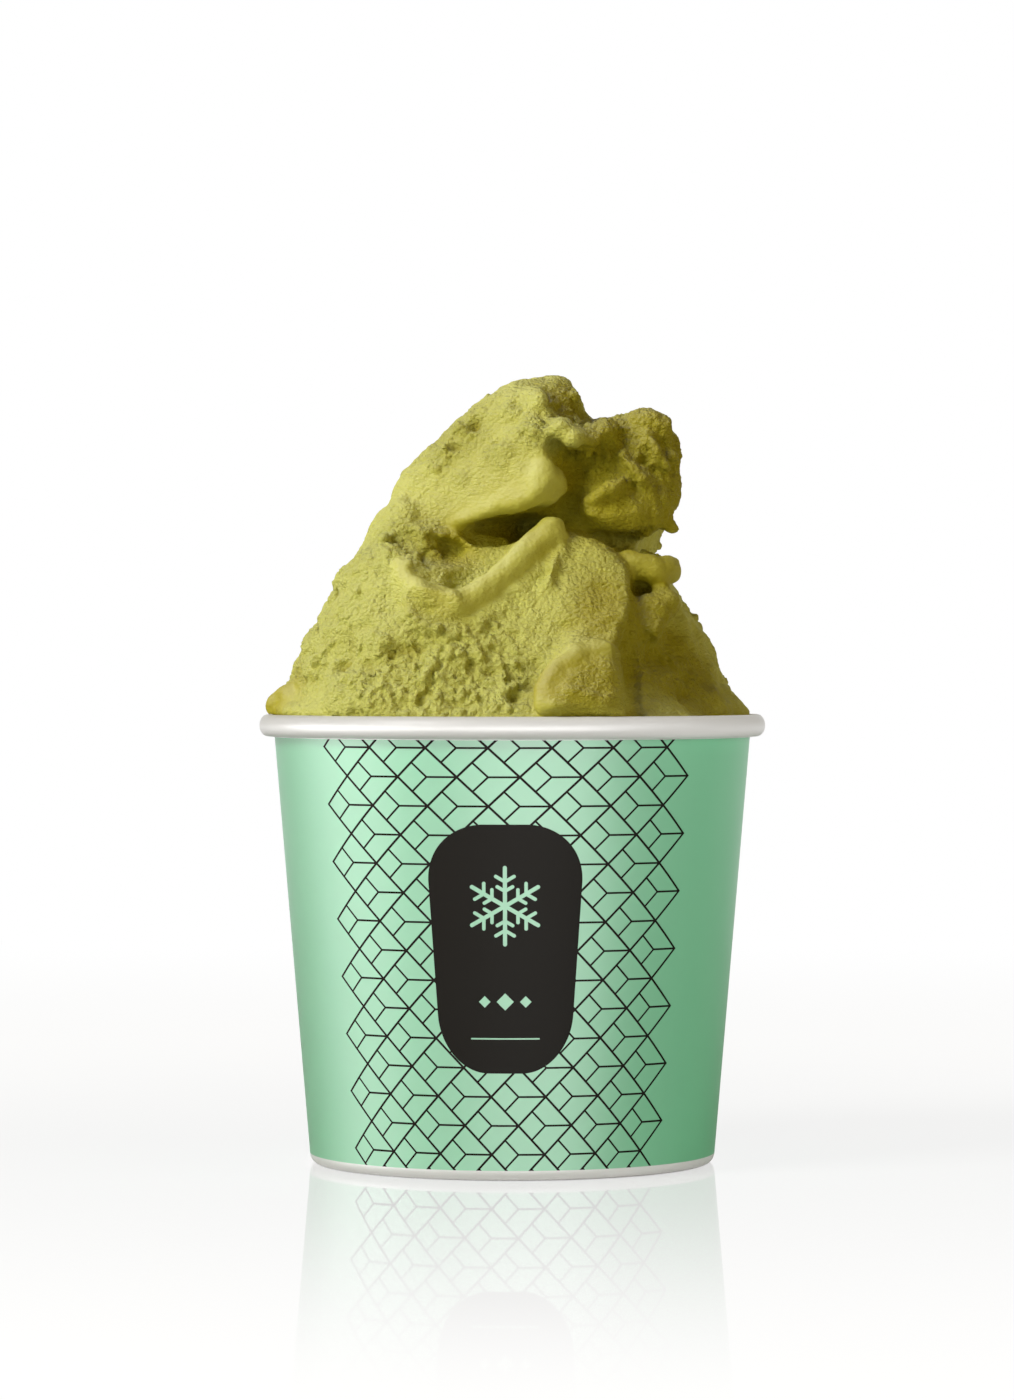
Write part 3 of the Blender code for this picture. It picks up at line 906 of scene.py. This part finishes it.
# Rounded lumps: pixel and depth of the middle, half sizes and turn.
LUMPS = (
    ((664, 603, -18.4), (3.2, 3.4, 2.9), (0, 0, 0)),
    ((651, 611, -20.2), (3.8, 3.6, 3.4), (0, 0, 0)),
    ((651, 627, -22.0), (2.6, 3.0, 3.2), (0, 0, 0)),
    ((571, 692, -43.6), (2.2, 2.2, 1.3), (0, 0, 0)),
    ((585, 697, -43.0), (2.4, 2.2, 1.2), (0, 0, 0)),
    ((601, 699, -42.0), (2.4, 2.2, 1.4), (0, 0, 0)),
    ((648, 428, -8.4), (4.6, 5.0, 3.6), (0, 10, 14)),
    ((560, 429, -18.6), (2.4, 3.6, 2.2), (0, 0, 0)),
    ((573, 438, -18.4), (2.6, 4.4, 2.1), (0, 15, 0)),
    ((587, 441, -15.8), (2.6, 4.0, 1.9), (0, 0, 0)),
    ((602, 433, -13.0), (3.2, 4.0, 2.1), (0, -14, 0)),
    ((604, 492, -17.6), (4.6, 2.6, 1.2), (0, -28, 0)),
    ((634, 470, -15.0), (5.0, 3.0, 1.2), (0, 52, 0)),
    ((655, 450, -12.6), (5.4, 3.0, 1.0), (0, 60, 0)),
)
SMOOTH_EDGES = (SLAB_LIP, SMILE_RIDGE, LOW_FOLD_EDGE, ROLL_END, LEFT_FOOT)
LATER_EDGES = (SMILE_RIDGE, LOW_FOLD_EDGE, ROLL_END, SHARD, CAVITY_FLAP, FLAKE, LEFT_FOOT, PEAK_KNOB)

# What the spatula dug out: pixel and depth of the middle, half sizes and turn.
HOLLOWS = (
    ((527, 529, -12.0), (5.2, 10.0, 3.0), (0, -10, 0)),
    ((561, 510, -17.0), (2.0, 5.0, 4.0), (0, 20, 0)),
    ((580, 524, -19.0), (5.0, 6.5, 2.2), (0, 22, 0)),
    ((573, 500, -16.0), (1.5, 4.5, 6.0), (0, 10, 0)),
    ((480, 552, -24.0), (8.0, 5.0, 3.2), (0, -12, 0)),
    ((424, 549, -22.5), (4.6, 4.0, 3.2), (0, 10, 0)),
    ((448, 548, -22.0), (5.0, 7.0, 2.6), (0, 6, 0)),
    ((404, 538, -19.0), (2.6, 2.2, 1.8), (0, -20, 0)),
    ((624, 541, -13.0), (7.5, 6.0, 1.9), (0, 5, 0)),
    ((641, 588, -20.0), (5.0, 4.5, 1.3), (0, -6, 0)),
    ((637, 655, -33.0), (3.0, 6.5, 9.0), (0, 3, 0)),
    ((636, 692, -36.5), (2.8, 6.0, 6.0), (0, 0, 0)),
)

# The solid's heap gets its first edge and its flat faces, then the hollows, then the later pieces.
heap = bmesh.new()
heap.from_mesh(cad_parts["gelato"].data)
bmesh.ops.remove_doubles(heap, verts=heap.verts, dist=SAME_PLACE)
everything = heap.verts[:] + heap.edges[:] + heap.faces[:]
bmesh.ops.bisect_plane(
    heap, geom=everything, plane_co=(0, 0, HEAP_CUT * MM), plane_no=(0, 0, 1), clear_inner=True
)
bmesh.ops.holes_fill(heap, edges=[edge for edge in heap.edges if edge.is_boundary], sides=0)
heap.from_mesh(lump_mesh(as_lumps([SLAB_LIP])))
heap.from_mesh(lump_mesh([lump for face in FACES for lump in face_lumps(*face)], 2))
heap_mesh = bpy.data.meshes.new("gelato_heap")
heap.to_mesh(heap_mesh)
heap.free()
gelato = add_object("gelato_heap", heap_mesh)
even_skin(gelato, ROUGH_VOXEL, 2)
hollows = [(seen(*place), radii, turned(*turn), BALL) for place, radii, turn in HOLLOWS]
lumps = [(seen(*place), radii, turned(*turn), LUMP) for place, radii, turn in LUMPS]
shaved = [
    (column, row, depth - radius + SHAVING_LEFT - SHAVING_RADIUS, SHAVING_RADIUS)
    for column, row, depth, radius in SMILE_RIDGE[SHAVING_START:]
]
dug = add_object("dug_out", lump_mesh(hollows + as_lumps([shaved])))
even_skin(dug, ROUGH_VOXEL, 0)
combine(gelato, "DIFFERENCE", dug)
laid = bmesh.new()
laid.from_mesh(gelato.data)
laid.from_mesh(lump_mesh(as_lumps(LATER_EDGES) + lumps))
laid.from_mesh(lump_mesh(face_lumps(*FACET), 2))
laid.to_mesh(gelato.data)
laid.free()
even_skin(gelato, ROUGH_VOXEL, 2)

# How torn the surface is: pixel and depth of the middle of each patch, its reach in mm, its strength.
TORN_PATCHES = (
    ((418, 545, -21), 7, 1.0),
    ((395, 540, -20), 6, 0.8),
    ((345, 590, -18), 13, 0.4),
    ((305, 650, -14), 12, 0.5),
    ((350, 650, -28), 12, 0.4),
    ((375, 695, -36), 12, 0.7),
    ((440, 690, -37), 12, 0.85),
    ((500, 690, -38), 11, 0.85),
    ((430, 645, -33), 10, 0.35),
    ((480, 640, -32), 9, 0.3),
    ((580, 590, -26), 13, 0.12),
    ((610, 570, -22), 8, 0.15),
    ((540, 432, -18), 4, 0.5),
    ((470, 425, -10), 7, 0.45),
    ((440, 455, -9), 6, 0.3),
    ((442, 462, -12), 2.2, 0.6),
    ((450, 450, -12), 2.2, 0.7),
    ((462, 440, -12), 2.4, 0.7),
    ((474, 434, -13), 2.4, 0.6),
    ((491, 452, -17), 2.0, 0.7),
    ((497, 462, -18), 2.0, 0.6),
    ((505, 446, -18), 1.8, 0.5),
    ((462, 478, -16), 1.8, 0.5),
    ((512, 408, -15), 2.6, 0.5),
    ((531, 432, -19), 3.0, 0.7),
    ((566, 405, -8), 6, 0.8),
    ((568, 434, -14), 6, 1.0),
    ((600, 428, -11), 5, 0.8),
    ((665, 455, -10), 9, 0.4),
    ((620, 465, -14), 9, 0.4),
    ((640, 500, -14), 6, 0.25),
    ((645, 548, -10), 5, 1.0),
    ((628, 565, -16), 6, 0.7),
    ((640, 660, -27), 10, 0.3),
    ((690, 680, -16), 12, 0.35),
    ((540, 600, -29), 12, 0.1),
)
# Where it was pressed and is damp, and so darker. The patches also paint shade: most lie where shade
# falls, down the right side, under the lip and in the hollows.
DAMP_AND_SHADE_PATCHES = (
    ((632, 455, -13), 12, 1.3),
    ((615, 505, -16), 11, 1.5),
    ((655, 500, -12), 9, 1.2),
    ((560, 400, -8), 6, 1.0),
    ((578, 472, -12), 8, 1.3),
    ((520, 535, -10), 10, 1.2),
    ((590, 682, -41), 10, 1.3),
    ((545, 692, -43), 6, 0.9),
    ((648, 426, -12), 6, 1.0),
    ((655, 612, -20), 8, 0.7),
    ((655, 570, -16), 7, 0.8),
    ((655, 650, -22), 10, 0.9),
    ((690, 690, -14), 13, 1.0),
    ((675, 670, -18), 10, 0.8),
    ((628, 660, -30), 7, 1.0),
    ((630, 610, -20), 5, 0.8),
    ((470, 450, -14), 20, 0.38),
    ((520, 500, -22), 7, 0.4),
    ((440, 600, -32), 7, 0.6),
    ((610, 560, -18), 5, 0.5),
    ((450, 548, -20), 8, 1.0),
    ((540, 545, -24), 6, 0.6),
    ((284, 702, -10), 9, 1.2),
    ((603, 590, -27), 8, 0.7),
    ((592, 618, -30), 8, 0.7),
    ((655, 455, -14), 9, 1.2),
)
TORN_BASE = 0.2
TORN_MOST = 1.15
TORN_BACK = 0.6
BACK_START = -8.0
BACK_FADE = 14.0
BACK_PATCH = 17.0
SMOOTH_START = 0.3
SMOOTH_REACH = 1.6
CRAG_SIZE = 6.5
CRAG_DEPTH = 0.55
RIPPLE_SIZE = 2.6
RIPPLE_DEPTH = 0.34
WARP_SIZE = 2.3
WARP_DEPTH = 0.8
CRUMB_SIZES = ((2.8, 0.8), (1.3, 0.6))
PIT_SIZE = 3.4
PIT_DEPTH = 2.6
PIT_START = 0.22
PIT_SHIFT = Vector((7, 3, 1))
STREAK_SIZE = 1.7
STREAK_DEPTH = 1.0
STREAK_REACH = 13.0
STREAK_MIDDLE = (640, 465, -10)
STREAK_LEAN = 0.25
STREAK_STRETCH = 0.16
STREWN_TRIES = 12000
STREWN_RADII = (0.32, 1.0)
STREWN_FROM = 0.5
STREWN_SPREAD = 0.8
STREWN_LOW = 2.0
SETTLE_LOW = 81.0
SETTLE_RISE = 4.0
RIM_MARGIN = 0.14
MOST_TRIANGLES = 196000

streak_middle = seen(*STREAK_MIDDLE)
torn_patches = [(seen(*place), reach, strength) for place, reach, strength in TORN_PATCHES]
damp_and_shade_patches = [(seen(*place), reach, strength) for place, reach, strength in DAMP_AND_SHADE_PATCHES]
smooth_beads = [bead for points in SMOOTH_EDGES for bead in edge_beads(points)]
smooth_places = KDTree(len(smooth_beads))
for i, (at, radius) in enumerate(smooth_beads):
    smooth_places.insert(at, i)
smooth_places.balance()


def share_of(value):
    """That value, held between 0 and 1."""
    return min(1.0, max(0.0, value))


def patched(patches, at):
    """How much those patches add up to at a point."""
    total = 0.0
    for middle, reach, strength in patches:
        apart = (at - middle).length_squared / reach**2
        if apart < 4:
            total += strength * math.exp(-1.5 * apart)
    return total


def how_torn(at):
    """0 where the gelato was smeared smooth, and 1 or more where it was torn."""
    spot, i, distance = smooth_places.find(at)
    kept = share_of((distance - smooth_beads[i][1] - SMOOTH_START) / SMOOTH_REACH)
    torn = TORN_BASE + patched(torn_patches, at)
    behind = share_of((at.y - BACK_START) / BACK_FADE)
    torn += behind * TORN_BACK * max(0.0, 0.5 + 1.3 * noise.noise(at / BACK_PATCH))
    return kept * min(torn, TORN_MOST)


def relief(at, torn, streaked):
    """How far the surface stands out there, in mm."""
    height = CRAG_DEPTH * (0.35 + torn) * noise.fractal(at / CRAG_SIZE, 0.9, 2.1, 3)
    height += RIPPLE_DEPTH * noise.noise(at / RIPPLE_SIZE)
    warp = noise.noise_vector(at / WARP_SIZE) * WARP_DEPTH
    for size, depth in CRUMB_SIZES:
        crease = noise.turbulence((at + warp) / size, 2, True, amplitude_scale=0.5, frequency_scale=2.1)
        height += depth * torn * (crease - 0.3)
    pit = max(0.0, noise.noise(at / PIT_SIZE + PIT_SHIFT) - PIT_START)
    height -= PIT_DEPTH * torn * pit
    along = Vector((at.x + STREAK_LEAN * at.z, at.y, at.z * STREAK_STRETCH))
    return height + STREAK_DEPTH * streaked * noise.fractal(along / STREAK_SIZE, 0.8, 2.2, 3)


def how_streaked(at):
    """1 on the lump at the right, which tore along the spatula's stroke, and 0 away from it."""
    apart = (at - streak_middle).length / STREAK_REACH
    return math.exp(-1.5 * apart**2)


# Loose crumbs, thickest where it is most torn.
chance = random.Random(5)
crumbs = []
for vert in chance.sample(list(gelato.data.vertices), STREWN_TRIES):
    torn = how_torn(vert.co / MM)
    enough = torn - STREWN_FROM > STREWN_SPREAD * chance.random()
    if enough and vert.co.z > (HEAP_FLOOR + STREWN_LOW) * MM:
        smallest, largest = STREWN_RADII
        size = smallest + (largest - smallest) * chance.random() ** 3
        radii = [size * chance.uniform(0.8, 1.2) for _ in range(3)]
        spin = turned(*[chance.uniform(0, 180) for _ in range(3)])
        crumbs.append((vert.co / MM + vert.normal * size * chance.uniform(-0.1, 0.5), radii, spin, CRUMB))
strewn = bmesh.new()
strewn.from_mesh(gelato.data)
strewn.from_mesh(lump_mesh(crumbs, 2))
strewn.to_mesh(gelato.data)
strewn.free()
even_skin(gelato, FINE_VOXEL, 1)

# Relief along the skin's normals, kept out of the cup's rolled rim. The materials read the three values.
normals = [vert.normal.copy() for vert in gelato.data.vertices]
values = {"torn": [], "relief": [], "damp_and_shade": []}
roll_half = (roll_width / MM + RIM_MARGIN, ROLL_HEIGHT / MM / 2 + RIM_MARGIN)
roll_middle = (roll_centre[0] / MM, roll_centre[1] / MM)
for vert, normal in zip(gelato.data.vertices, normals):
    at = vert.co / MM
    torn = how_torn(at)
    height = relief(at, torn, how_streaked(at))
    at += normal * height * share_of((at.z - SETTLE_LOW) / SETTLE_RISE)
    out = math.hypot(at.x, at.y)
    off = Vector(((out - roll_middle[0]) / roll_half[0], (at.z - roll_middle[1]) / roll_half[1]))
    if out > roll_middle[0] - roll_half[0] and off.length < 1:
        off.normalize()
        clear = roll_middle[0] + off.x * roll_half[0]
        at.x *= clear / out
        at.y *= clear / out
        at.z = roll_middle[1] + off.y * roll_half[1]
    vert.co = at * MM
    values["torn"].append(torn)
    values["relief"].append(height)
    values["damp_and_shade"].append(min(1.0, patched(damp_and_shade_patches, at)))
for name, numbers in values.items():
    layer = gelato.data.attributes.new(name, "FLOAT", "POINT")
    layer.data.foreach_set("value", numbers)

# The gelato below the rim is out of sight, so its sides and bottom there have few faces.
plug = bmesh.new()
plug.from_mesh(gelato.data)
everything = plug.verts[:] + plug.edges[:] + plug.faces[:]
bmesh.ops.bisect_plane(
    plug, geom=everything, plane_co=(0, 0, HEAP_FLOOR * MM), plane_no=(0, 0, 1), clear_inner=True
)
cut_edges = [edge for edge in plug.edges if edge.is_boundary]
drawn = bmesh.ops.extrude_edge_only(plug, edges=cut_edges)["geom"]
floor_radius = (wall_outside(FILL_FLOOR * MM) - BOARD - GAP) / MM
for vert in drawn:
    if isinstance(vert, bmesh.types.BMVert):
        flat = Vector((vert.co.x, vert.co.y)).normalized() * floor_radius
        vert.co = Vector((flat.x, flat.y, FILL_FLOOR)) * MM
low_edges = [edge for edge in drawn if isinstance(edge, bmesh.types.BMEdge) and edge.is_boundary]
bottom = bmesh.ops.holes_fill(plug, edges=low_edges, sides=0)["faces"]
bmesh.ops.poke(plug, faces=bottom)
bmesh.ops.recalc_face_normals(plug, faces=plug.faces)
plug.to_mesh(gelato.data)
plug.free()

# Where the surface is nearly flat, neighbouring faces are merged.
gelato.data.calc_loop_triangles()
thin = gelato.modifiers.new("thin_out", "DECIMATE")
thin.ratio = min(1.0, MOST_TRIANGLES / len(gelato.data.loop_triangles))
keep_modifiers(gelato)
gelato.data.shade_smooth()

# Frosty where it is dry, darker and redder where it is damp. Painted shade also makes it darker and
# redder where shade falls on it, in its pits and between its grains.
FROSTY = (0.585, 0.58, 0.125, 1)
FROSTY_DEEP = (0.54, 0.525, 0.095, 1)
# Damp gelato's colour, which also serves as painted shade: darker and redder.
DAMP_AND_SHADE = (0.38, 0.33, 0.01, 1)
DAMP_AND_SHADE_DEEP = (0.335, 0.285, 0.006, 1)
# Painted shade in the pits of the relief.
PIT_SHADE = (0.31, 0.26, 0.006, 1)
ON_PEAK = (0.61, 0.605, 0.13, 1)
# Painted shade between the grains.
SHADE_BETWEEN_GRAINS = (0.3, 0.255, 0.006, 1)
BLOTCH_SCALE = 160
GRAIN_SCALE = 1500
ROWS_SCALE = 900
ROWS_STRETCH = (1, 1, 2.2)
CELL_SCALE = 1250
CELL_HEIGHT = 0.9
WANDER_SCALE = 800
WANDER = (0.7 * MM,) * 3
MOST_GRAIN = 1.1
GRAIN_RELIEF = 0.5 * MM
GELATO_ROUGHNESS = 0.64
GELATO_SPECULAR = 0.26
DEPTH_OF_LIGHT = 0.6 * MM

gelato_look, tree, paint = new_material("pistachio_gelato")
calc = calculator(tree)


def attribute(tree, name):
    """A value that the mesh carries."""
    node = tree.nodes.new("ShaderNodeAttribute")
    node.attribute_name = name
    return node.outputs["Fac"]


where = tree.nodes.new("ShaderNodeTexCoord").outputs["Object"]
# The damp attribute carries painted shade as well as damp.
torn, depth, wet_and_shaded = (attribute(tree, name) for name in ("torn", "relief", "damp_and_shade"))
blotch = add_noise(tree, where, BLOTCH_SCALE, 3)
grain = add_noise(tree, where, GRAIN_SCALE, 4, 0.78)
flattened = tree.nodes.new("ShaderNodeMapping")
flattened.inputs["Scale"].default_value = ROWS_STRETCH
tree.links.new(where, flattened.inputs["Vector"])
rows = add_noise(tree, flattened.outputs[0], ROWS_SCALE, 2, 0.6)
warp = tree.nodes.new("ShaderNodeTexNoise")
warp.inputs["Scale"].default_value = WANDER_SCALE
tree.links.new(where, warp.inputs["Vector"])
wander = tree.nodes.new("ShaderNodeVectorMath")
wander.operation = "MULTIPLY_ADD"
for socket, value in zip(wander.inputs, (warp.outputs["Color"], WANDER, where)):
    connect(tree, value, socket)
cells = tree.nodes.new("ShaderNodeTexVoronoi")
cells.inputs["Scale"].default_value = CELL_SCALE
tree.links.new(wander.outputs[0], cells.inputs["Vector"])

smeared = calc("MULTIPLY_ADD", torn, -5.0, 1.0, clamp=True)
# Damp where smeared or pressed, and painted shade where the damp patches lie in shade.
wetness_and_shade = calc("MAXIMUM", calc("MULTIPLY", smeared, 0.35), wet_and_shaded)
# Painted shade in the pits, where the relief sinks.
pit_shade = calc("MULTIPLY_ADD", depth, -0.6, -0.15, clamp=True)
on_peak = calc("MULTIPLY", calc("MULTIPLY", depth, 0.9, clamp=True), calc("SUBTRACT", 1.0, wet_and_shaded))
grain_share = calc("MINIMUM", calc("MULTIPLY_ADD", torn, 1.5, 0.2), MOST_GRAIN)
rows_share = calc("MINIMUM", calc("MULTIPLY_ADD", torn, 5.0, 0.25), MOST_GRAIN)
# Painted shade between the grains, where the grain noise is low.
between = calc("MULTIPLY", calc("MULTIPLY_ADD", grain, -4.0, 2.0, clamp=True), grain_share)
frosty = mix_colour(tree, blotch, FROSTY, FROSTY_DEEP)
damp_and_shade = mix_colour(tree, blotch, DAMP_AND_SHADE, DAMP_AND_SHADE_DEEP)
colour = mix_colour(tree, wetness_and_shade, frosty, damp_and_shade)
colour = mix_colour(tree, pit_shade, colour, PIT_SHADE)
colour = mix_colour(tree, on_peak, colour, ON_PEAK)
colour = mix_colour(tree, calc("MULTIPLY", between, 0.5, clamp=True), colour, SHADE_BETWEEN_GRAINS)
tree.links.new(colour, paint.inputs["Base Color"])
roughness = calc("MULTIPLY_ADD", torn, 0.1, GELATO_ROUGHNESS, clamp=True)
tree.links.new(roughness, paint.inputs["Roughness"])
paint.inputs["Specular IOR Level"].default_value = GELATO_SPECULAR
paint.inputs["Subsurface Weight"].default_value = 0.12
paint.inputs["Subsurface Radius"].default_value = (1.0, 0.8, 0.2)
paint.inputs["Subsurface Scale"].default_value = DEPTH_OF_LIGHT
cell_height = calc("MULTIPLY", calc("SUBTRACT", 1.0, cells.outputs["Distance"]), CELL_HEIGHT)
grain_height = calc("MULTIPLY", calc("ADD", grain, cell_height), grain_share)
grain_height = calc("ADD", grain_height, calc("MULTIPLY", rows, rows_share))
tree.links.new(add_bump(tree, grain_height, 1.0, GRAIN_RELIEF), paint.inputs["Normal"])
gelato.data.materials.clear()
gelato.data.materials.append(gelato_look)
for group in ("gelato", "gelato_and_board"):
    lit[group].objects.link(gelato)
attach(gelato, "root")
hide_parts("gelato")
